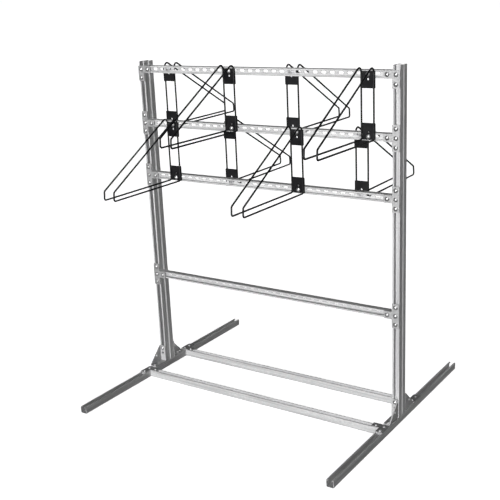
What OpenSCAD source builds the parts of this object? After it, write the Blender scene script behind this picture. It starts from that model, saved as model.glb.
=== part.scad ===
// Two-sided vertical bike rack: bolted strut channel frame with eight rod hangers.
// X runs along the rack, Y from front to back, Z up. The origin is on the floor, in the middle.
// All sizes are in millimetres.

/* [Frame] */
// Width over the outer faces of the two posts
rack_w = 1656; // [1500:4:2200]
// Height of the posts' tops above the floor
rack_h = 1930; // [1850:5:2150]
// Length of each foot, front to back
foot_l = 1570; // [1300:10:1900]
// Drop from the posts' tops to the centre line of the top rail
top_drop = 45.5; // [30:0.5:80]
// Step between the centre lines of the three hanger rails
rail_step = 313; // [280:1:340]
// Height of the low rail's centre line above the floor
low_rail_z = 628.5; // [300:0.5:850]
// Distance from the rack's middle to the centre line of each floor rail
floor_rail_y = 183; // [180:1:400]

/* [Strut channel] */
// Outer width and depth of the channel
strut_s = 41.3; // [40:0.1:44]
// Thickness of the channel's steel
strut_wall = 2.7; // [2:0.1:3]
// Width of the open slot between the lips
slot_w = 22.2; // [21:0.1:24]
// Depth to which the lips turn into the channel
lip_depth = 7.1; // [6:0.1:9]
// Outer radius of the channel's bends
bend_r = 3.6; // [3.2:0.1:4.5]
// Length of the long holes in the rails' webs
web_hole_l = 28.6; // [24:0.1:32]
// Width of the long holes in the rails' webs
web_hole_w = 14.3; // [13.4:0.1:16]
// Pitch of the long holes
web_hole_pitch = 50.8; // [44:0.1:60]
// Least distance from a long hole to the rail's end
web_hole_margin = 10; // [5:1:40]

/* [Flat plates] */
// Thickness of the flat plates
plate_t = 6; // [4:0.5:8]
// Width of the flat plates' arms
plate_w = 41.3; // [36:0.1:42]
// Distance between neighbouring holes
hole_step = 47.6; // [44:0.1:52]
// Radius of the flat plates' corners
plate_r = 3; // [1:0.5:6]

/* [Gussets] */
// Thickness of the gussets
gusset_t = 6.4; // [6:0.1:6.6]
// Height of a gusset above the foot
gusset_h = 106; // [104:1:112]
// Reach of a gusset along the foot
gusset_l = 108; // [104:1:112]
// Outer radius of the bends between a gusset's legs and its side web
gusset_bend_r = 12; // [6:0.5:12]
// Width of the side web at its two far corners
gusset_corner = 12; // [12:1:24]
// Distance from the gusset's inner corner to the bolt in each leg
gusset_bolt = 88.6; // [86:0.1:90]
// Distance from the gusset's inner corner to the spare hole in each leg
gusset_spare = 57; // [54:0.5:60]
// Distance from both legs' outer faces to the middle of the hole in the side web
gusset_eye = 50; // [46:0.5:50]
// Diameter of the hole in the side web
gusset_eye_d = 14; // [8:1:16]

/* [Hangers] */
// Diameter of the bent rod
rod_d = 9.5; // [8:0.1:12]
// Distance between the centre lines of a hanger's two loops
loop_gap = 69; // [64:1:80]
// Distance from the rail's face to the centre line of the loops' outer lip, at its foot
reach = 592; // [500:1:650]
// Height of the loops' top above the upper rail's centre line
loop_top = 36.8; // [28:0.1:60]
// Height of the outer lip's upper corner above the lower rail's centre line
lip_top = 38; // [30:1:80]
// Drop of the outer lip's lower corner below the lower rail's centre line
lip_drop = 11; // [5:1:15]
// Drop of the loops' inner lower corner below the lower rail's centre line
heel_drop = 15; // [10:1:20]
// How much less the lip's upper corner reaches out than its lower corner
lip_lean = 4; // [0:1:20]
// How much thicker the rod is in its bends
bend_swell = 0.1; // [0.05:0.05:0.3]
// Radius of the rod's centre line in the top bend
top_bend_r = 22; // [18:1:26]
// Radius of the rod's centre line in the three lower bends
corner_bend_r = 12; // [8:1:16]
// Width of the two mounting plates
mount_w = 78; // [76:1:90]
// Thickness of the two mounting plates
mount_t = 6; // [4:0.5:8]
// Length of a mounting plate from its bolt to the end near the rail's edge
mount_short = 15.5; // [14:0.5:24]
// Length of a mounting plate from its bolt to the end away from the rail
mount_long = 70; // [50:1:90]
// Distance from the bolt to the spare hole in a mounting plate
spare_hole_step = 25; // [24:0.5:40]
// Diameter of the spare hole
spare_hole_d = 11; // [8:0.5:12]
// Distance from the left post to the middle of the first front hanger
first_hanger_gap = 186.7; // [140:0.1:240]
// Distance from the rack's middle to the middle of the second front hanger, on its left
second_hanger_out = 184; // [120:0.5:240]
// Distance from the rack's middle to the middle of the third front hanger, on its right
third_hanger_out = 235.5; // [120:0.5:260]
// Distance from the right post to the middle of the last front hanger
last_hanger_gap = 130.7; // [110:0.1:240]

/* [Bolts and nuts] */
// Diameter of the bolts' shanks
bolt_d = 12.7; // [12:0.1:13]
// Length of the bolts under the head
bolt_l = 25.4; // [25:0.1:26]
// Diameter of the plates' bolt holes
bolt_hole_d = 14.3; // [13.6:0.1:15]
// Diameter of the round heads
head_d = 25; // [20:0.5:26]
// Height of the round heads
head_h = 8; // [6:0.5:9]
// Height of the straight edge under the dome of a head
head_edge = 1.2; // [0.5:0.1:2]
// Gap between a shank and the nut's bore
thread_gap = 0.15; // [0.05:0.05:0.3]
// Thickness of the channel nuts
nut_t = 11; // [9:0.5:12]
// Width of the channel nuts, along the slot
nut_w = 20.6; // [19:0.1:21]
// Gap from the channel nuts' ends to the channel's walls
nut_side_gap = 0.6; // [0.3:0.1:1]
// Depth of the channel nuts' grooves
nut_groove = 2.4; // [1.5:0.1:3]
// Gap on each side of a lip in the nut's groove
groove_gap = 0.5; // [0.2:0.1:1]
// Side of the square washers inside the rails
washer_w = 31.8; // [28:0.1:34]
// Thickness of the square washers
washer_t = 3; // [2:0.5:4]
// Width across the flats of the hexagonal nuts
hex_w = 19; // [18:0.5:20]
// Height of the hexagonal nuts
hex_t = 11; // [10:0.5:12]

/* [Hidden] */
$fn = 48;
through = 1;
bend_overlap = 0.5;

post_x = rack_w / 2 - strut_s / 2;
rail_l = rack_w - 2 * strut_s;
rail_face_y = -strut_s;
top_rail_z = rack_h - top_drop;
upper_rail_z = top_rail_z - rail_step;
middle_rail_z = upper_rail_z - rail_step;

SIDES = [["left", -1], ["right", 1]];
ENDS = [["front", -1], ["back", 1]];
RAILS = [["top", top_rail_z], ["upper", upper_rail_z], ["middle", middle_rail_z], ["low", low_rail_z]];

// The outline of a hanger's loop: distance out from the rail, height above the lower rail
heel_out = mount_t + rod_d / 2;
lip_foot = [reach, -lip_drop];
lip_head = [reach - lip_lean, lip_top];
heel = [heel_out, -heel_drop];
crown_centre = [heel_out + top_bend_r, rail_step + loop_top - rod_d / 2 - top_bend_r];
crown_to_lip = lip_head - crown_centre;
crown_distance = norm(crown_to_lip);
slope_angle = atan2(crown_to_lip[1], crown_to_lip[0]) - asin(top_bend_r / crown_distance);
slope_lift = top_bend_r * (1 - sin(slope_angle)) / cos(slope_angle);
crown = [heel_out, crown_centre[1] + slope_lift];
loop_corners = [heel, lip_foot, lip_head, crown];
loop_radii = [corner_bend_r, corner_bend_r, corner_bend_r, top_bend_r];

front_hanger_x = [
    first_hanger_gap - rail_l / 2,
    -second_hanger_out,
    third_hanger_out,
    rail_l / 2 - last_hanger_gap
];

// Long holes: pairs of equal distance from the rail's middle
hole_pairs = floor((rail_l / 2 - web_hole_l / 2 - web_hole_margin) / web_hole_pitch + 0.5);
web_hole_x = [for (i = [-hole_pairs : hole_pairs - 1]) (i + 0.5) * web_hole_pitch];
hole_play = (web_hole_l - bolt_hole_d) / 2;

// A back hanger hangs opposite a front one, as near as the rail's long holes let its bolts go
function hole_near(x) = (floor(x / web_hole_pitch) + 0.5) * web_hole_pitch;
function in_web_hole(x) = hole_near(x) + max(-hole_play, min(hole_play, x - hole_near(x)));
back_hanger_x = [for (x = front_hanger_x) in_web_hole(-x)];

// Front hangers hang low and high in turn, starting low on the left, and each back one as its opposite
HANGERS = [
    for (end = ENDS)
        for (i = [0 : len(front_hanger_x) - 1])
            [str("hanger_", end[0], "_", i + 1), end[1],
             end[1] < 0 ? front_hanger_x[i] : back_hanger_x[i],
             i % 2 == 0 ? middle_rail_z : upper_rail_z]
];

function unit(v) = v / norm(v);

// Flat shapes

module rounded_rect(from, to, r) {
    translate([from[0] + r, from[1]])
        square([to[0] - from[0] - 2 * r, to[1] - from[1]]);
    translate([from[0], from[1] + r])
        square([to[0] - from[0], to[1] - from[1] - 2 * r]);
    for (x = [from[0] + r, to[0] - r])
        for (y = [from[1] + r, to[1] - r])
            translate([x, y])
                circle(r);
}

// The channel's section: the web is at +Y, the slot at -Y
module strut_section() {
    half = strut_s / 2;
    inner = half - strut_wall;
    lip_r = strut_wall;
    difference() {
        rounded_rect([-half, -half], [half, half], bend_r);
        rounded_rect([-inner, -inner], [inner, inner], bend_r - strut_wall);
        translate([-slot_w / 2 - strut_wall, -half - through])
            square([slot_w + 2 * strut_wall, strut_wall + 2 * through]);
    }
    for (side = [-1, 1])
        translate([side * (slot_w / 2 + lip_r), -half])
            lip_section(side, lip_r);
}

// One lip that turns into the channel, with a rounded outer bend
module lip_section(side, lip_r) {
    mirror([side > 0 ? 1 : 0, 0]) {
        intersection() {
            translate([0, lip_r])
                circle(lip_r);
            square(lip_r);
        }
        translate([0, lip_r])
            square([lip_r, lip_depth - lip_r]);
    }
}

module strut(l) {
    linear_extrude(l, center = true)
        strut_section();
}

// Channel along Y or X with the slot up
module strut_along_y(l) {
    rotate([-90, 0, 0])
        strut(l);
}

module strut_along_x(l) {
    rotate([-90, 0, 0])
        rotate([0, 90, 0])
            strut(l);
}

// Frame

module post_channel(side, end) {
    l = rack_h - strut_s;
    color("silver")
        translate([side * post_x, end * strut_s / 2, strut_s + l / 2])
            rotate([0, 0, end < 0 ? 0 : 180])
                strut(l);
}

module foot(side) {
    color("silver")
        translate([side * post_x, 0, strut_s / 2])
            strut_along_y(foot_l);
}

module web_hole() {
    run = web_hole_l - web_hole_w;
    linear_extrude(strut_wall + 2 * through, center = true) {
        square([run, web_hole_w], center = true);
        for (x = [-run / 2, run / 2])
            translate([x, 0])
                circle(d = web_hole_w);
    }
}

module cross_rail(z) {
    color("gainsboro")
        translate([0, rail_face_y + strut_s / 2, z])
            difference() {
                rotate([0, 90, 0])
                    strut(rail_l);
                for (x = web_hole_x)
                    translate([x, strut_s / 2 - strut_wall / 2, 0])
                        rotate([90, 0, 0])
                            web_hole();
            }
}

module floor_rail(end) {
    color("gainsboro")
        translate([0, end * floor_rail_y, strut_s / 2])
            strut_along_x(rail_l);
}

// Flat plates: the first hole is at the origin, one arm runs along +X

function l_holes() = [[0, 0], [1, 0], [0, -1]] * hole_step;
function t_holes() = [[0, 0], [1, 0], [0, -1], [0, 1]] * hole_step;
function holes_of(rail_name) = rail_name == "top" ? l_holes() : t_holes();

module flat_plate(holes) {
    half = plate_w / 2;
    low = min([for (h = holes) h[1]]) - half;
    high = max([for (h = holes) h[1]]) + half;
    difference() {
        linear_extrude(plate_t) {
            rounded_rect([-half, low], [half, high], plate_r);
            rounded_rect([-half, -half], [hole_step + half, half], plate_r);
        }
        for (h = holes)
            translate([h[0], h[1], -through])
                cylinder(d = bolt_hole_d, h = plate_t + 2 * through);
    }
}

// Puts a plate's plane on the front face of a post and a rail, its X pointing into the rack
module on_rail_face(side, z) {
    mirror([side > 0 ? 1 : 0, 0, 0])
        translate([-post_x, rail_face_y, z])
            rotate([90, 0, 0])
                children();
}

// Puts a plate's plane on a foot and a floor rail, its X pointing into the rack, its Y to the middle
module on_floor_corner(side, end) {
    mirror([side > 0 ? 1 : 0, 0, 0])
        mirror([0, end > 0 ? 1 : 0, 0])
            translate([-post_x, -floor_rail_y, strut_s])
                children();
}

module rail_plate(side, rail) {
    color("lightgray")
        on_rail_face(side, rail[1])
            flat_plate(holes_of(rail[0]));
}

module floor_plate(side, end) {
    color("dimgray")
        on_floor_corner(side, end)
            flat_plate(l_holes());
}

// Gussets

gusset_half = strut_s / 2;
gusset_outline = [
    [0, 0],
    [gusset_l, 0],
    [gusset_l, gusset_corner],
    [gusset_corner, gusset_h],
    [0, gusset_h]
];

// Puts a gusset's corner where a post stands on its foot: X points out of the rack's side,
// Y away from the post
module at_post_foot(side, end) {
    translate([side * post_x, end * strut_s, strut_s])
        mirror([side < 0 ? 1 : 0, 0, 0])
            mirror([0, end < 0 ? 1 : 0, 0])
                children();
}

// The width of a gusset by the length of a leg, with the bend's round corner
module bent_edge(leg_l) {
    translate([-gusset_half, gusset_bend_r])
        square([2 * gusset_half, leg_l - gusset_bend_r]);
    translate([-gusset_half, 0])
        square([2 * gusset_half - gusset_bend_r, leg_l]);
    translate([gusset_half - gusset_bend_r, gusset_bend_r])
        circle(gusset_bend_r);
}

// The outer form of a gusset, as if it were filled
module gusset_block() {
    intersection() {
        linear_extrude(gusset_h)
            bent_edge(gusset_l);
        translate([0, gusset_l, 0])
            rotate([90, 0, 0])
                linear_extrude(gusset_l)
                    bent_edge(gusset_h);
        translate([-gusset_half, 0, 0])
            rotate([90, 0, 90])
                linear_extrude(2 * gusset_half)
                    polygon(gusset_outline);
    }
}

module gusset(side, end) {
    color("dimgray")
        at_post_foot(side, end)
            difference() {
                gusset_block();
                translate([-gusset_half - through, gusset_t, gusset_t])
                    cube([2 * gusset_half - gusset_t + through, gusset_l, gusset_h]);
                translate([gusset_half - gusset_t - through, gusset_eye, gusset_eye])
                    rotate([0, 90, 0])
                        cylinder(d = gusset_eye_d, h = gusset_t + 2 * through);
                for (h = [gusset_spare, gusset_bolt]) {
                    translate([0, -through, h])
                        rotate([-90, 0, 0])
                            cylinder(d = bolt_hole_d, h = gusset_t + 2 * through);
                    translate([0, h, -through])
                        cylinder(d = bolt_hole_d, h = gusset_t + 2 * through);
                }
            }
}

// Hangers: drawn with X across, Y up from the lower rail, Z out from the rail's face

// Half of the inner angle at corner b, on the way from a to c
function half_angle(a, b, c) = acos(unit(a - b) * unit(c - b)) / 2;
function trim(a, b, c, r) = r / tan(half_angle(a, b, c));

// A closed rod through convex corners listed anticlockwise, each with its own bend radius
module rod_loop(corners, radii, d) {
    n = len(corners);
    for (i = [0 : n - 1]) {
        before = corners[(i + n - 1) % n];
        here = corners[i];
        next = corners[(i + 1) % n];
        after = corners[(i + 2) % n];
        half = half_angle(before, here, next);
        incoming = unit(here - before);
        outgoing = unit(next - here);
        centre = here + unit(outgoing - incoming) * radii[i] / sin(half);
        start = here + outgoing * trim(before, here, next, radii[i]);
        stop = next - outgoing * trim(here, next, after, radii[(i + 1) % n]);
        translate(centre)
            rotate([0, 0, atan2(-incoming[0], incoming[1])])
                rotate_extrude(angle = 180 - 2 * half)
                    translate([radii[i], 0])
                        circle(d = d + bend_swell);
        translate(start - outgoing * bend_overlap)
            rotate([0, 90, atan2(outgoing[1], outgoing[0])])
                cylinder(d = d, h = norm(stop - start) + 2 * bend_overlap);
    }
}

module at_hanger(hanger) {
    translate([hanger[2], hanger[1] < 0 ? rail_face_y : rail_face_y + strut_s, hanger[3]])
        rotate([90, 0, hanger[1] < 0 ? 0 : 180])
            children();
}

module hanger_loops(hanger) {
    color("black")
        at_hanger(hanger)
            for (x = [-loop_gap / 2, loop_gap / 2])
                translate([x, 0, 0])
                    rotate([0, -90, 0])
                        rod_loop(loop_corners, loop_radii, rod_d);
}

// A mounting plate with its bolt at the origin and its long end up
module mounting_plate() {
    difference() {
        linear_extrude(mount_t)
            rounded_rect([-mount_w / 2, -mount_short], [mount_w / 2, mount_long], plate_r);
        translate([0, 0, -through])
            cylinder(d = bolt_hole_d, h = mount_t + 2 * through);
        translate([0, spare_hole_step, -through])
            cylinder(d = spare_hole_d, h = mount_t + 2 * through);
    }
}

module hanger_lower_plate(hanger) {
    color("black")
        at_hanger(hanger)
            mounting_plate();
}

module hanger_upper_plate(hanger) {
    color("black")
        at_hanger(hanger)
            translate([0, rail_step, 0])
                mirror([0, 1, 0])
                    mounting_plate();
}

// Bolts and nuts: drawn with the head's underside, or the face that the nut grips, at Z = 0

module bolt() {
    dome_h = head_h - head_edge;
    dome_r = (head_d * head_d / 4 + dome_h * dome_h) / (2 * dome_h);
    cylinder(d = head_d, h = head_edge);
    intersection() {
        translate([0, 0, head_h - dome_r])
            sphere(dome_r);
        translate([0, 0, head_edge])
            cylinder(d = head_d, h = dome_h);
    }
    translate([0, 0, -bolt_l])
        cylinder(d = bolt_d, h = bolt_l);
}

// A nut behind the lips of a channel whose slot runs along X and whose face is at Z = 0
module channel_nut() {
    nut_l = strut_s - 2 * strut_wall - 2 * nut_side_gap;
    top = -lip_depth + nut_groove;
    groove_w = strut_wall + 2 * groove_gap;
    difference() {
        translate([-nut_w / 2, -nut_l / 2, top - nut_t])
            cube([nut_w, nut_l, nut_t]);
        for (side = [-1, 1])
            translate([0, side * (slot_w / 2 + strut_wall / 2), top])
                cube([nut_w + 2 * through, groove_w, 2 * nut_groove], center = true);
        translate([0, 0, top - nut_t - through])
            cylinder(d = bolt_d + 2 * thread_gap, h = nut_t + 2 * through);
    }
}

// A nut on a square washer on the inner face of a rail's web
module web_nut() {
    difference() {
        translate([0, 0, -strut_wall - washer_t - hex_t]) {
            translate([-washer_w / 2, -washer_w / 2, hex_t])
                cube([washer_w, washer_w, washer_t]);
            cylinder(d = hex_w / cos(30), h = hex_t, $fn = 6);
        }
        translate([0, 0, -strut_wall - washer_t - hex_t - through])
            cylinder(d = bolt_d + 2 * thread_gap, h = hex_t + washer_t + 2 * through);
    }
}

module rail_plate_bolts() {
    color("silver")
        for (side = SIDES)
            for (rail = RAILS)
                on_rail_face(side[1], rail[1])
                    for (h = holes_of(rail[0]))
                        translate([h[0], h[1], plate_t])
                            bolt();
}

module rail_plate_nuts() {
    color("silver")
        for (side = SIDES)
            for (rail = RAILS)
                on_rail_face(side[1], rail[1])
                    for (h = holes_of(rail[0]))
                        translate(h)
                            rotate([0, 0, h[0] > 0 ? 0 : 90])
                                channel_nut();
}

// Places its child at each bolt of the gussets and floor plates, lifted off the channel's face,
// with its X along the channel's slot
module at_base_bolts(gusset_lift, plate_lift) {
    for (side = SIDES)
        for (end = ENDS) {
            at_post_foot(side[1], end[1]) {
                translate([0, gusset_lift, gusset_bolt])
                    rotate([-90, 90, 0])
                        children();
                translate([0, gusset_bolt, gusset_lift])
                    rotate([0, 0, 90])
                        children();
            }
            on_floor_corner(side[1], end[1])
                for (h = l_holes())
                    translate([h[0], h[1], plate_lift])
                        rotate([0, 0, h[0] > 0 ? 0 : 90])
                            children();
        }
}

module base_bolts() {
    color("silver")
        at_base_bolts(gusset_t, plate_t)
            bolt();
}

module base_nuts() {
    color("silver")
        at_base_bolts(0, 0)
            channel_nut();
}

module hanger_bolts() {
    color("silver")
        for (hanger = HANGERS)
            at_hanger(hanger)
                for (y = [0, rail_step])
                    translate([0, y, mount_t])
                        bolt();
}

module hanger_channel_nuts() {
    color("silver")
        for (hanger = HANGERS)
            if (hanger[1] < 0)
                at_hanger(hanger)
                    for (y = [0, rail_step])
                        translate([0, y, 0])
                            channel_nut();
}

module hanger_web_nuts() {
    color("silver")
        for (hanger = HANGERS)
            if (hanger[1] > 0)
                at_hanger(hanger)
                    for (y = [0, rail_step])
                        translate([0, y, 0])
                            web_nut();
}

for (side = SIDES)
    for (end = ENDS) {
        post_channel(side[1], end[1]);
        gusset(side[1], end[1]);
        floor_plate(side[1], end[1]);
    }
for (side = SIDES)
    foot(side[1]);
for (rail = RAILS) {
    cross_rail(rail[1]);
    for (side = SIDES)
        rail_plate(side[1], rail);
}
for (end = ENDS)
    floor_rail(end[1]);
for (hanger = HANGERS) {
    hanger_loops(hanger);
    hanger_upper_plate(hanger);
    hanger_lower_plate(hanger);
}
rail_plate_bolts();
base_bolts();
hanger_bolts();
rail_plate_nuts();
base_nuts();
hanger_channel_nuts();
hanger_web_nuts();
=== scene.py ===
# %% [markdown]
# # A two-sided vertical bike rack
# The rack is a frame of steel strut channel, bolted together with flat plates and gussets. Eight black
# hangers of bent rod stand out from it, four on each side. The construction comes from the packed
# model. This lesson gives every piece its finish, breaks the sharp edges of the channels, plates,
# gussets and nuts, turns the bolts, and adds the hangers' weld beads.

# %% Load the frame
import math

import bpy
from mathutils import Matrix, Vector


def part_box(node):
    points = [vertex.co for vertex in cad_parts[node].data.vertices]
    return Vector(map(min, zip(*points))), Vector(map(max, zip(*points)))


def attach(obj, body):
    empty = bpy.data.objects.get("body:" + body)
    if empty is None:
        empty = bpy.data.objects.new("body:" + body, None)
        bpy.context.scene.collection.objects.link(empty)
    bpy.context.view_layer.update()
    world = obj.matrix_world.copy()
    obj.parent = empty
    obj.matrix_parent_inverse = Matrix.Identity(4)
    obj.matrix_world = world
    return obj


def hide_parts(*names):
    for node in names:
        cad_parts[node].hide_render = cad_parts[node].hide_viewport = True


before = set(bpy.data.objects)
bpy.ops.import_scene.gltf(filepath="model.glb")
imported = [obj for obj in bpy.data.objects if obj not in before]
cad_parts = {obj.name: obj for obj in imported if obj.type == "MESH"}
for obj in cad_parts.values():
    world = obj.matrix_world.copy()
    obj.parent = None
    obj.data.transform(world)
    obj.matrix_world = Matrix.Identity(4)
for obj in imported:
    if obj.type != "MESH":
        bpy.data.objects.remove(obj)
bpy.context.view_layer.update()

# %% [markdown]
# ## The camera
# The photograph was taken from the right, in front of the rack and a little above it. The camera's
# place and angles were worked out from the rack's own edges, so the pieces fall on the same pixels.

# %% Camera
CAMERA_PLACE = Vector((2.687, -4.133, 2.360))
CAMERA_YAW = math.radians(34.275)
CAMERA_PITCH = math.radians(16.704)
CAMERA_ROLL = math.radians(-2.605)
LENS_MM = 64.93
SENSOR_MM = 36.0
SEES_UP_TO = 60.0

camera_data = bpy.data.cameras.new("camera")
camera_data.lens = LENS_MM
camera_data.sensor_width = SENSOR_MM
camera_data.clip_end = SEES_UP_TO
camera = bpy.data.objects.new("camera", camera_data)
bpy.context.scene.collection.objects.link(camera)

aim = Matrix.Rotation(CAMERA_YAW, 3, "Z") @ Matrix.Rotation(math.pi / 2 - CAMERA_PITCH, 3, "X")
tilted = aim @ Matrix.Rotation(CAMERA_ROLL, 3, "Z")
camera.matrix_world = Matrix.Translation(CAMERA_PLACE) @ tilted.to_4x4()
bpy.context.scene.camera = camera
print("camera stands", round(CAMERA_PLACE.length, 2), "m from the middle of the rack's foot")

# %% [markdown]
# ## The stage
# A large pale floor runs on into a pale surround, like the plain white ground of a catalogue picture.
# Both are seen by the camera but throw no light back on the rack, so the sides that face away from
# the lamp stay dark, as they do in the photograph. The floor still takes the rack's faint shadow.

# %% Floor and surround
FLOOR_SIZE = 110.0
SURROUND_RADIUS = 52.0
UNDER_THE_FEET = -0.0006


def stage_material(name, colour, glow):
    """A matt paint with a glow of its own, which keeps the ground even and pale."""
    material = bpy.data.materials.new(name)
    material.use_nodes = True
    shader = material.node_tree.nodes["Principled BSDF"]
    shader.inputs["Base Color"].default_value = (*colour, 1)
    shader.inputs["Roughness"].default_value = 0.9
    shader.inputs["Specular IOR Level"].default_value = 0.0
    shader.inputs["Emission Color"].default_value = (1, 1, 1, 1)
    shader.inputs["Emission Strength"].default_value = glow
    return material


def set_on_stage(piece, material):
    """Keeps a piece of the stage out of the rack's reflections and bounce light."""
    piece.data.materials.append(material)
    piece.visible_diffuse = False
    piece.visible_glossy = False
    piece.visible_shadow = False


bpy.ops.object.select_all(action="DESELECT")
bpy.ops.mesh.primitive_plane_add(size=FLOOR_SIZE, location=(0, 0, UNDER_THE_FEET))
floor = bpy.context.object
floor.name = "floor"
set_on_stage(floor, stage_material("floor paint", colour=(0.80, 0.80, 0.80), glow=0.9))

bpy.ops.mesh.primitive_uv_sphere_add(segments=48, ring_count=24, radius=SURROUND_RADIUS)
surround = bpy.context.object
surround.name = "surround"
bpy.ops.object.mode_set(mode="EDIT")
bpy.ops.mesh.select_all(action="SELECT")
bpy.ops.mesh.flip_normals()
bpy.ops.object.mode_set(mode="OBJECT")
set_on_stage(surround, stage_material("surround paint", colour=(0, 0, 0), glow=1.02))
print("stage set:", floor.name, surround.name)

# %% [markdown]
# ## The light
# The brightest faces in the photograph are those that face the front, also deep inside the open
# channels, and the round bolt heads shine at their upper right. So one lamp stands in front of the
# rack, a little to the right, and a second one beside it casts no shadow and reaches into the
# channels. A third, high up on the right, shows only as gloss, on the bolt heads and on the surfaces
# that face up. A lamp behind lights the back but makes no gloss, and a dim world fills in the rest.

# %% Lamps and world
WORLD_STRENGTH = 0.08


def add_sun(name, towards_lamp, strength, width, shadow=True, shine=True, fill=True):
    """A far lamp, its width in degrees. Without shine it makes no gloss, without fill only gloss."""
    sun = bpy.data.objects.new(name, bpy.data.lights.new(name, "SUN"))
    sun.data.energy = strength
    sun.data.angle = math.radians(width)
    sun.data.use_shadow = shadow
    sun.visible_glossy = shine
    sun.visible_diffuse = fill
    sun.rotation_euler = Vector(towards_lamp).to_track_quat("Z", "Y").to_euler()
    bpy.context.scene.collection.objects.link(sun)


add_sun("front lamp", (0.20, -0.96, 0.12), strength=1.0, width=12)
add_sun("channel lamp", (0.06, -0.96, 0.10), strength=3.2, width=20, shadow=False)
add_sun("gloss lamp", (0.30, -0.60, 0.74), strength=1.5, width=16, shadow=False, fill=False)
add_sun("back lamp", (0.11, 0.98, 0.10), strength=2.0, width=40, shine=False)

world = bpy.data.worlds.new("studio")
world.use_nodes = True
world.node_tree.nodes["Background"].inputs["Color"].default_value = (1, 1, 1, 1)
world.node_tree.nodes["Background"].inputs["Strength"].default_value = WORLD_STRENGTH
bpy.context.scene.world = world
bpy.context.scene.view_settings.view_transform = "Standard"

# %% [markdown]
# ## Finishes
# Every finish is built from noise and cell patterns on Object coordinates, which are the rack's own
# metres, so a grain of 2 mm stays 2 mm on every piece. Values that are the same all over sit on the
# shader's sockets.

# %% Helpers for the finishes


def start_material(name, base, metallic, roughness):
    """A principled material and its node tree, with even values set on the sockets."""
    material = bpy.data.materials.new(name)
    material.use_nodes = True
    material.diffuse_color = (*base, 1)
    tree = material.node_tree
    shader = tree.nodes["Principled BSDF"]
    shader.inputs["Base Color"].default_value = (*base, 1)
    shader.inputs["Metallic"].default_value = metallic
    shader.inputs["Roughness"].default_value = roughness
    return material, tree, shader


def place_pattern(tree, stretch=(1, 1, 1)):
    """Object coordinates, stretched along the axes: a small number draws the pattern out."""
    coordinates = tree.nodes.new("ShaderNodeTexCoord")
    mapping = tree.nodes.new("ShaderNodeMapping")
    mapping.inputs["Scale"].default_value = stretch
    tree.links.new(coordinates.outputs["Object"], mapping.inputs["Vector"])
    return mapping.outputs["Vector"]


def noise(tree, vector, scale, detail=2.0, rough=0.5):
    """Soft noise, its scale in waves per metre."""
    node = tree.nodes.new("ShaderNodeTexNoise")
    node.inputs["Scale"].default_value = scale
    node.inputs["Detail"].default_value = detail
    node.inputs["Roughness"].default_value = rough
    tree.links.new(vector, node.inputs["Vector"])
    return node.outputs["Fac"]


def ramp(tree, value, low, high, start=0.0, stop=1.0):
    """Maps a pattern's stretch from start to stop onto low to high."""
    node = tree.nodes.new("ShaderNodeMapRange")
    node.inputs["From Min"].default_value = start
    node.inputs["From Max"].default_value = stop
    node.inputs["To Min"].default_value = low
    node.inputs["To Max"].default_value = high
    tree.links.new(value, node.inputs["Value"])
    return node.outputs["Result"]


def reckon(tree, operation, first, second=0.0):
    """One step of arithmetic on sockets or numbers."""
    node = tree.nodes.new("ShaderNodeMath")
    node.operation = operation
    for target, value in zip(node.inputs, (first, second)):
        if isinstance(value, float):
            target.default_value = value
        else:
            tree.links.new(value, target)
    return node.outputs["Value"]


def blend_colours(tree, factor, first, second):
    """Mixes two colours, or a colour socket and a colour, by a pattern."""
    node = tree.nodes.new("ShaderNodeMix")
    node.data_type = "RGBA"
    tree.links.new(factor, node.inputs["Factor"])
    for socket, colour in (("A", first), ("B", second)):
        target = [i for i in node.inputs if i.name == socket and i.type == "RGBA"][0]
        if isinstance(colour, tuple):
            target.default_value = (*colour, 1)
        else:
            tree.links.new(colour, target)
    return [o for o in node.outputs if o.type == "RGBA"][0]


def add_bump(tree, shader, height, strength, distance):
    """Small relief on a surface, its distance in metres."""
    node = tree.nodes.new("ShaderNodeBump")
    node.inputs["Strength"].default_value = strength
    node.inputs["Distance"].default_value = distance
    tree.links.new(height, node.inputs["Height"])
    tree.links.new(node.outputs["Normal"], shader.inputs["Normal"])


# %% [markdown]
# ### Painted highlight and painted shade on the posts
# In the photograph a post's side has a paler line of light where the rounded bends of its two channels meet
# back to back.
# Each slot shows a dark strip of shade on the inner face of the channel's far flank. Both are painted into
# the zinc's colour:
# a painted highlight along the seam and painted shade on the inner flanks. They follow the post's section,
# so two masks are reckoned from the distance to the seam and to the post's middle.

# %% Painted light masks on the posts
POST_CENTRE = 0.80735
SEAM_FADE = (0.006, 0.011)
OUTER_SKIN = (0.0185, 0.0200)
INNER_SKIN = (0.0165, 0.0178)
BEYOND_THE_WEB = (0.003, 0.005)
BEHIND_THE_LIPS = (0.0376, 0.0384)


def post_painted_light_masks(tree):
    """A painted highlight along the seam on a post's outer sides, and painted shade on the inner flanks of
    its channels.
    """
    place = tree.nodes.new("ShaderNodeSeparateXYZ")
    tree.links.new(place_pattern(tree), place.inputs["Vector"])
    from_seam = reckon(tree, "ABSOLUTE", place.outputs["Y"])
    from_centre = reckon(tree, "SUBTRACT", reckon(tree, "ABSOLUTE", place.outputs["X"]), POST_CENTRE)
    from_centre = reckon(tree, "ABSOLUTE", from_centre)
    outside = ramp(tree, from_centre, 0.0, 1.0, *OUTER_SKIN)
    seam_highlight = reckon(tree, "MULTIPLY", ramp(tree, from_seam, 1.0, 0.0, *SEAM_FADE), outside)
    flank_shade = reckon(tree, "SUBTRACT", ramp(tree, from_centre, 0.0, 1.0, *INNER_SKIN), outside)
    flank_shade = reckon(tree, "MULTIPLY", flank_shade, ramp(tree, from_seam, 0.0, 1.0, *BEYOND_THE_WEB))
    flank_shade = reckon(tree, "MULTIPLY", flank_shade, ramp(tree, from_seam, 1.0, 0.0, *BEHIND_THE_LIPS))
    return seam_highlight, flank_shade


print("the posts' masks stand", POST_CENTRE, "m to each side")

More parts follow.
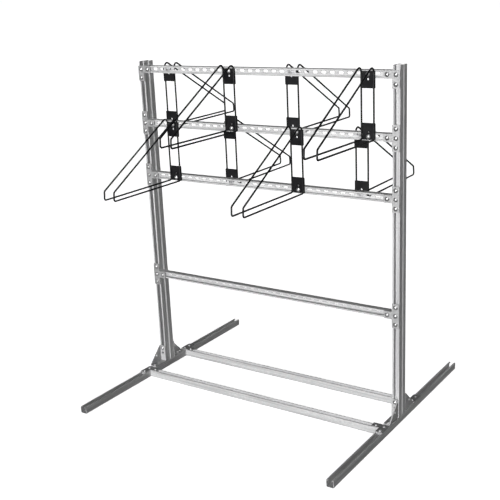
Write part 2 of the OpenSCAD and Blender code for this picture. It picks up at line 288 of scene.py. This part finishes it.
# %% [markdown]
# ### Zinc
# Strut channel is rolled from steel strip that already has its zinc, so it is pale grey and satin,
# with a faint spangle of zinc crystals a few millimetres across and fine lines along the rolling
# direction. The lines need one material for each direction in which a channel runs. Plates, gussets,
# bolts and nuts have the same spangle in their own greys, and the harder the shine the more metal
# the material has.

# %% Zinc finishes
CHANNEL_PALE = (0.63, 0.63, 0.63)
CHANNEL_DARK = (0.49, 0.49, 0.495)
STREAK_GREY = (0.40, 0.40, 0.405)
# Painted highlight: the pale line of light along a post's seam.
SEAM_PAINTED_HIGHLIGHT = (0.84, 0.84, 0.84)
# Painted shade: the dark strip on the channels' inner flanks.
FLANK_PAINTED_SHADE = (0.30, 0.30, 0.305)
PLATE_PALE = (0.49, 0.49, 0.49)
PLATE_DARK = (0.35, 0.35, 0.355)
GUSSET_PALE = (0.51, 0.51, 0.51)
GUSSET_DARK = (0.38, 0.38, 0.385)
BOLT_PALE = (0.43, 0.43, 0.43)
BOLT_DARK = (0.37, 0.37, 0.375)
NUT_PALE = (0.62, 0.62, 0.63)
NUT_DARK = (0.52, 0.52, 0.53)
CRYSTALS_PER_METRE = 170.0
CLOUDS_PER_METRE = 6.0
STREAKS_PER_METRE = 130.0
LINES_PER_METRE = 900.0
DRAWN_OUT = 0.02
LINE_DEPTH = 0.0004
UPRIGHT = "z"


def zinc_material(name, pale, dark, metallic, roughness, rolled_along=None):
    """Spangled zinc, with streaks and fine lines along the axis that a channel is rolled along."""
    material, tree, shader = start_material(name, pale, metallic, roughness)
    even = place_pattern(tree)
    cells = tree.nodes.new("ShaderNodeTexVoronoi")
    cells.inputs["Scale"].default_value = CRYSTALS_PER_METRE
    tree.links.new(even, cells.inputs["Vector"])
    crystal = tree.nodes.new("ShaderNodeSeparateColor")
    tree.links.new(cells.outputs["Color"], crystal.inputs["Color"])
    clouds = noise(tree, even, CLOUDS_PER_METRE, detail=3.0, rough=0.6)
    spangle = blend_colours(tree, ramp(tree, crystal.outputs["Red"], 0.0, 0.95), pale, dark)
    colour = blend_colours(tree, ramp(tree, clouds, 0.0, 0.5, 0.35, 0.75), spangle, dark)
    rolled = tuple(DRAWN_OUT if axis == rolled_along else 1.0 for axis in "xyz")
    if rolled_along:
        streaks = noise(tree, place_pattern(tree, rolled), STREAKS_PER_METRE, detail=1.0)
        colour = blend_colours(tree, ramp(tree, streaks, 0.0, 0.9, 0.42, 0.66), colour, STREAK_GREY)
    # On the posts, a painted highlight along the seam and painted shade on the inner flanks go into the
    # colour.
    if rolled_along == UPRIGHT:
        seam_highlight, flank_shade = post_painted_light_masks(tree)
        colour = blend_colours(tree, seam_highlight, colour, SEAM_PAINTED_HIGHLIGHT)
        colour = blend_colours(tree, flank_shade, colour, FLANK_PAINTED_SHADE)
    tree.links.new(colour, shader.inputs["Base Color"])
    cloud_gloss = ramp(tree, clouds, roughness - 0.08, roughness + 0.04, 0.3, 0.7)
    crystal_gloss = ramp(tree, crystal.outputs["Green"], -0.04, 0.08)
    tree.links.new(reckon(tree, "ADD", cloud_gloss, crystal_gloss), shader.inputs["Roughness"])
    lines = noise(tree, place_pattern(tree, rolled), LINES_PER_METRE)
    add_bump(tree, shader, lines, strength=0.22, distance=LINE_DEPTH)
    return material


channel_along = {
    axis: zinc_material(
        f"zinc channel {axis}", CHANNEL_PALE, CHANNEL_DARK, metallic=0.25, roughness=0.52, rolled_along=axis
    )
    for axis in "xyz"
}
zinc_plate = zinc_material("zinc plate", PLATE_PALE, PLATE_DARK, metallic=0.85, roughness=0.54)
zinc_gusset = zinc_material("zinc gusset", GUSSET_PALE, GUSSET_DARK, metallic=0.3, roughness=0.54)
bright_zinc = zinc_material("bright bolt zinc", BOLT_PALE, BOLT_DARK, metallic=0.9, roughness=0.42)
nut_zinc = zinc_material("nut zinc", NUT_PALE, NUT_DARK, metallic=0.6, roughness=0.38)
print("zinc finishes", [material.name for material in bpy.data.materials if "zinc" in material.name])

# %% [markdown]
# ### Black powder coat
# The hangers are dipped in a thick black powder coat. Under light it shows the faint ripple that
# painters call orange peel, and it dulls a little where wheels rub.

# %% Powder coat
COAT_BLACK = (0.004, 0.004, 0.005)
COAT_WORN = (0.008, 0.008, 0.009)
COAT_SPECULAR = 0.27
PEEL_PER_METRE = 700.0
WEAR_PER_METRE = 9.0
PEEL_DEPTH = 0.0003


def powder_coat(name):
    """A black coat with fine peel, duller and a trace paler where it is worn."""
    material, tree, shader = start_material(name, COAT_BLACK, metallic=0.0, roughness=0.36)
    shader.inputs["Specular IOR Level"].default_value = COAT_SPECULAR
    even = place_pattern(tree)
    peel = noise(tree, even, PEEL_PER_METRE, detail=1.0)
    wear = noise(tree, even, WEAR_PER_METRE, detail=4.0, rough=0.65)
    tree.links.new(ramp(tree, wear, 0.30, 0.52, 0.35, 0.7), shader.inputs["Roughness"])
    colour = blend_colours(tree, ramp(tree, wear, 0.0, 0.35, 0.45, 0.8), COAT_BLACK, COAT_WORN)
    tree.links.new(colour, shader.inputs["Base Color"])
    add_bump(tree, shader, peel, strength=0.18, distance=PEEL_DEPTH)
    return material


black_coat = powder_coat("black powder coat")
print("coat", black_coat.name)

# %% [markdown]
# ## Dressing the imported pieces
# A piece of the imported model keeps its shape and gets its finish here. Its name says what it is.

# %% Give the pieces their finishes


def finish_of(name):
    """The finish for a piece, from its name."""
    if name.startswith("post_"):
        return channel_along["z"]
    if name.startswith("foot_"):
        return channel_along["y"]
    if name.startswith("floor_rail_") or (name.startswith("rail_") and "plate" not in name):
        return channel_along["x"]
    if name.endswith("_bolts"):
        return bright_zinc
    if name.endswith("_nuts"):
        return nut_zinc
    if name.startswith("hanger_"):
        return black_coat
    if name.startswith("gusset_"):
        return zinc_gusset
    return zinc_plate


for name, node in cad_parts.items():
    node.data.materials.clear()
    node.data.materials.append(finish_of(name))
print("dressed", len(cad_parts), "pieces")

# %% [markdown]
# ## Softer edges
# Channels are sawn to length, and plates, gussets and nuts are cut from thick steel. Their edges are
# broken by tumbling or by the coat on them, so they catch a thin line of light. A bevel on the loose
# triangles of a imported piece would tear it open, so each piece is copied, its triangles are merged to
# whole faces, and only then are its sharp edges bevelled. The rods have no sharp edges and stay as
# they are packed.

# %% Helpers for whole pieces
MERGE_WITHIN = 0.00001


def work_on(piece):
    """Selects one piece alone, because an operator acts on all that is selected."""
    bpy.ops.object.select_all(action="DESELECT")
    piece.select_set(True)
    bpy.context.view_layer.objects.active = piece


def hand_over(piece, slot, material, *replaced):
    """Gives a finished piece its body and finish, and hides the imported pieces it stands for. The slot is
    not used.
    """
    piece.data.materials.clear()
    piece.data.materials.append(material)
    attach(piece, "root")
    if replaced:
        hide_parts(*replaced)


def merged_copy(node_name, copy_name):
    """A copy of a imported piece, its loose triangles joined along their shared edges."""
    copy = bpy.data.objects.new(copy_name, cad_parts[node_name].data.copy())
    bpy.context.scene.collection.objects.link(copy)
    work_on(copy)
    bpy.ops.mesh.customdata_custom_splitnormals_clear()
    bpy.ops.object.mode_set(mode="EDIT")
    bpy.ops.mesh.select_all(action="SELECT")
    bpy.ops.mesh.remove_doubles(threshold=MERGE_WITHIN)
    bpy.ops.object.mode_set(mode="OBJECT")
    return copy


# %% Soften the edges
FLAT_WITHIN = math.radians(0.4)
SHARP_FROM = math.radians(50)
SMOOTH_UP_TO = math.radians(40)
BREAK_SEGMENTS = 3
PLATE_EDGE_BREAK = 0.0007
GUSSET_EDGE_BREAK = 0.0009
NUT_EDGE_BREAK = 0.0008
CHANNEL_EDGE_BREAK = 0.0004


def softening_of(name):
    """The record's slot and the edge break for a piece, or None where it isn't softened."""
    if name.endswith(("_bolts", "_loops")):
        return None
    if name.endswith("_nuts"):
        return "nut_steel", NUT_EDGE_BREAK
    if name.startswith(("rail_plate_", "floor_plate_")):
        return "plate_steel", PLATE_EDGE_BREAK
    if name.startswith("gusset_"):
        return "plate_steel", GUSSET_EDGE_BREAK
    if name.startswith("hanger_"):
        return "black_coat", PLATE_EDGE_BREAK
    return "strut_steel", CHANNEL_EDGE_BREAK


def soften(node_name, slot, edge_break):
    """A piece with broken edges in place of a packed one."""
    piece = merged_copy(node_name, node_name + "_softened")
    bpy.ops.object.mode_set(mode="EDIT")
    bpy.ops.mesh.select_all(action="SELECT")
    bpy.ops.mesh.dissolve_limited(angle_limit=FLAT_WITHIN)
    bpy.ops.object.mode_set(mode="OBJECT")
    bevel = piece.modifiers.new("broken edge", "BEVEL")
    bevel.width = edge_break
    bevel.segments = BREAK_SEGMENTS
    bevel.limit_method = "ANGLE"
    bevel.angle_limit = SHARP_FROM
    bpy.ops.object.modifier_apply(modifier=bevel.name)
    bpy.ops.object.shade_smooth_by_angle(angle=SMOOTH_UP_TO)
    even = piece.modifiers.new("even faces", "WEIGHTED_NORMAL")
    even.keep_sharp = True
    bpy.ops.object.modifier_apply(modifier=even.name)
    hand_over(piece, slot, finish_of(node_name), node_name)
    return piece


softened = []
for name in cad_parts:
    softening = softening_of(name)
    if softening:
        softened.append(soften(name, *softening))
print("softened", len(softened), "pieces, faces of the first:", len(softened[0].data.polygons))

# %% [markdown]
# ## Bolts
# Every joint is held by a round-headed bolt. A bolt is a turned thing, so it starts as a circle that
# is extruded and resized ring by ring along its axis: a blunt point, thread ridges, a plain shank, a
# small rounded rim and the dome. One bolt is turned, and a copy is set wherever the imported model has
# one. The places are measured on a merged copy that is separated into its loose parts.

# %% Turning helper


def turn_piece(name, profile, facets):
    """Turns a closed solid about Z from its (radius, height) pairs, from one end to the other."""
    radius, height = profile[0]
    bpy.ops.object.select_all(action="DESELECT")
    bpy.ops.mesh.primitive_circle_add(
        vertices=facets, radius=radius, fill_type="NGON", location=(0, 0, height)
    )
    piece = bpy.context.object
    piece.name = name
    bpy.ops.object.transform_apply(location=True)
    bpy.ops.object.mode_set(mode="EDIT")
    bpy.ops.mesh.select_all(action="SELECT")
    for next_radius, next_height in profile[1:]:
        bpy.ops.mesh.extrude_region_move(TRANSFORM_OT_translate={"value": (0, 0, next_height - height)})
        shrink = next_radius / radius
        bpy.ops.transform.resize(value=(shrink, shrink, 1), center_override=(0, 0, next_height))
        radius, height = next_radius, next_height
    bpy.ops.mesh.select_all(action="SELECT")
    bpy.ops.mesh.normals_make_consistent(inside=False)
    bpy.ops.object.mode_set(mode="OBJECT")
    return piece


# %% Turn one bolt
BOLT_FACETS = 24
HEAD_RADIUS = 0.0125
HEAD_HEIGHT = 0.008
RIM_HEIGHT = 0.0012
RIM_BREAK = 0.0004
SHANK_RADIUS = 0.00635
SHANK_LENGTH = 0.0254
POINT_INSET = 0.0018
POINT_SHOULDER = 0.0004
POINT_LENGTH = 0.0012
THREAD_START = 0.0016
THREAD_RIDGES = 7
THREAD_PITCH = 0.002
THREAD_DEPTH = 0.0007
DOME_TILTS = (49, 42, 34, 26, 18, 10, 4)

bolt_profile = [
    (SHANK_RADIUS - POINT_INSET, -SHANK_LENGTH),
    (SHANK_RADIUS - POINT_SHOULDER, -SHANK_LENGTH + POINT_LENGTH),
]
for ridge in range(THREAD_RIDGES):
    foot = -SHANK_LENGTH + THREAD_START + ridge * THREAD_PITCH
    bolt_profile += [(SHANK_RADIUS - THREAD_DEPTH, foot), (SHANK_RADIUS, foot + THREAD_PITCH / 2)]
bolt_profile += [
    (SHANK_RADIUS, 0.0),
    (HEAD_RADIUS - RIM_BREAK, 0.0),
    (HEAD_RADIUS, RIM_BREAK),
    (HEAD_RADIUS, RIM_HEIGHT),
]
dome_height = HEAD_HEIGHT - RIM_HEIGHT
dome_radius = (HEAD_RADIUS**2 + dome_height**2) / (2 * dome_height)
for tilt in DOME_TILTS:
    lean = math.radians(tilt)
    bolt_profile.append((dome_radius * math.sin(lean), HEAD_HEIGHT - dome_radius * (1 - math.cos(lean))))
model_bolt = turn_piece("model_bolt", bolt_profile, BOLT_FACETS)
bpy.ops.object.shade_smooth_by_angle(angle=SMOOTH_UP_TO)
print("model bolt", len(model_bolt.data.polygons), "faces")

# %% Set the bolts
AT_THE_RIM = 0.9


def bolt_places(node_name):
    """The middle of each head's underside and the way that the head points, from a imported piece."""
    merged_copy(node_name, "bolts_to_measure")
    bpy.ops.object.mode_set(mode="EDIT")
    bpy.ops.mesh.select_all(action="SELECT")
    bpy.ops.mesh.separate(type="LOOSE")
    bpy.ops.object.mode_set(mode="OBJECT")
    places = []
    for bolt in list(bpy.context.selected_objects):
        points = [vertex.co for vertex in bolt.data.vertices]
        low = Vector([min(point[i] for point in points) for i in range(3)])
        high = Vector([max(point[i] for point in points) for i in range(3)])
        middle = (low + high) / 2
        axis = max(range(3), key=lambda i: high[i] - low[i])
        across = [i for i in range(3) if i != axis]
        rim = [
            point[axis] - middle[axis]
            for point in points
            if math.hypot(*(point[i] - middle[i] for i in across)) > HEAD_RADIUS * AT_THE_RIM
        ]
        outward = Vector((0, 0, 0))
        outward[axis] = math.copysign(1.0, sum(rim))
        seat = middle + outward * ((high - low)[axis] / 2 - HEAD_HEIGHT)
        places.append((seat, outward))
        bpy.data.objects.remove(bolt)
    return places


def set_copies(model, places, name):
    """Copies of one model, turned and placed in their own meshes, and joined as one group."""
    copies = []
    for seat, outward in places:
        mesh = model.data.copy()
        turn = outward.to_track_quat("Z", "Y").to_matrix().to_4x4()
        mesh.transform(Matrix.Translation(seat) @ turn)
        copy = bpy.data.objects.new(name, mesh)
        bpy.context.scene.collection.objects.link(copy)
        copies.append(copy)
    work_on(copies[0])
    for copy in copies:
        copy.select_set(True)
    bpy.ops.object.join()
    return copies[0]


for name in ("rail_plate_bolts", "base_bolts", "hanger_bolts"):
    places = bolt_places(name)
    group = set_copies(model_bolt, places, name + "_turned")
    hand_over(group, "bolt_steel", bright_zinc, name)
    print("set", len(places), "bolts for", name)
bpy.data.objects.remove(model_bolt)

# %% [markdown]
# ## Weld beads
# The rods of a hanger are welded to its two mounting plates before it is coated. A weld bead is a row
# of small overlapping ripples, so it is turned like the bolt, with a radius that swells and narrows,
# and laid in the corner between rod and plate. The rods run along the plates' edges, so the beads
# lie on the inner side of each rod, near both ends of each plate.

# %% Turn one weld bead
BEAD_RADIUS = 0.0024
BEAD_LENGTH = 0.018
BEAD_RIPPLES = 8
BEAD_FACETS = 10
BEAD_TIP = 0.0004
BEAD_SMOOTH_UP_TO = math.radians(80)
END_RIPPLE = 0.8
BETWEEN_RIPPLES = 0.78

bead_profile = [(BEAD_TIP, -BEAD_LENGTH / 2)]
for ripple in range(BEAD_RIPPLES):
    start = -BEAD_LENGTH / 2 + (ripple + 0.25) * BEAD_LENGTH / BEAD_RIPPLES
    swell = BEAD_RADIUS * (END_RIPPLE if ripple in (0, BEAD_RIPPLES - 1) else 1.0)
    bead_profile += [(swell * BETWEEN_RIPPLES, start), (swell, start + 0.5 * BEAD_LENGTH / BEAD_RIPPLES)]
bead_profile.append((BEAD_TIP, BEAD_LENGTH / 2))
model_bead = turn_piece("model_bead", bead_profile, BEAD_FACETS)
bpy.ops.object.shade_smooth_by_angle(angle=BEAD_SMOOTH_UP_TO)
print("model bead", len(model_bead.data.polygons), "faces")

# %% Lay the weld beads
ROD_OUT = 0.0345
BEAD_IN = 0.0046
LOWER_PLATE_DROP = 0.0155
BEAD_HEIGHTS = (0.009, 0.057, 0.256, 0.313)
UPWARD = Vector((0, 0, 1))


def bead_places(hanger):
    """The middle of each bead on a hanger's plates. Every bead runs upward."""
    low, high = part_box(hanger + "_lower_plate")
    in_front = hanger.startswith("hanger_front")
    outward = -1 if in_front else 1
    face_y = (low.y if in_front else high.y) + outward * BEAD_RADIUS / 2
    places = []
    for side in (-1, 1):
        bead_x = (low.x + high.x) / 2 + side * (ROD_OUT - BEAD_IN)
        for height in BEAD_HEIGHTS:
            places.append((Vector((bead_x, face_y, low.z + LOWER_PLATE_DROP + height)), UPWARD))
    return places


bead_groups = []
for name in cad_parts:
    if name.endswith("_loops"):
        hanger = name.removesuffix("_loops")
        group = set_copies(model_bead, bead_places(hanger), hanger + "_weld_beads")
        hand_over(group, "black_coat", black_coat)
        bead_groups.append(group)
bpy.data.objects.remove(model_bead)
print("laid beads on", len(bead_groups), "hangers")
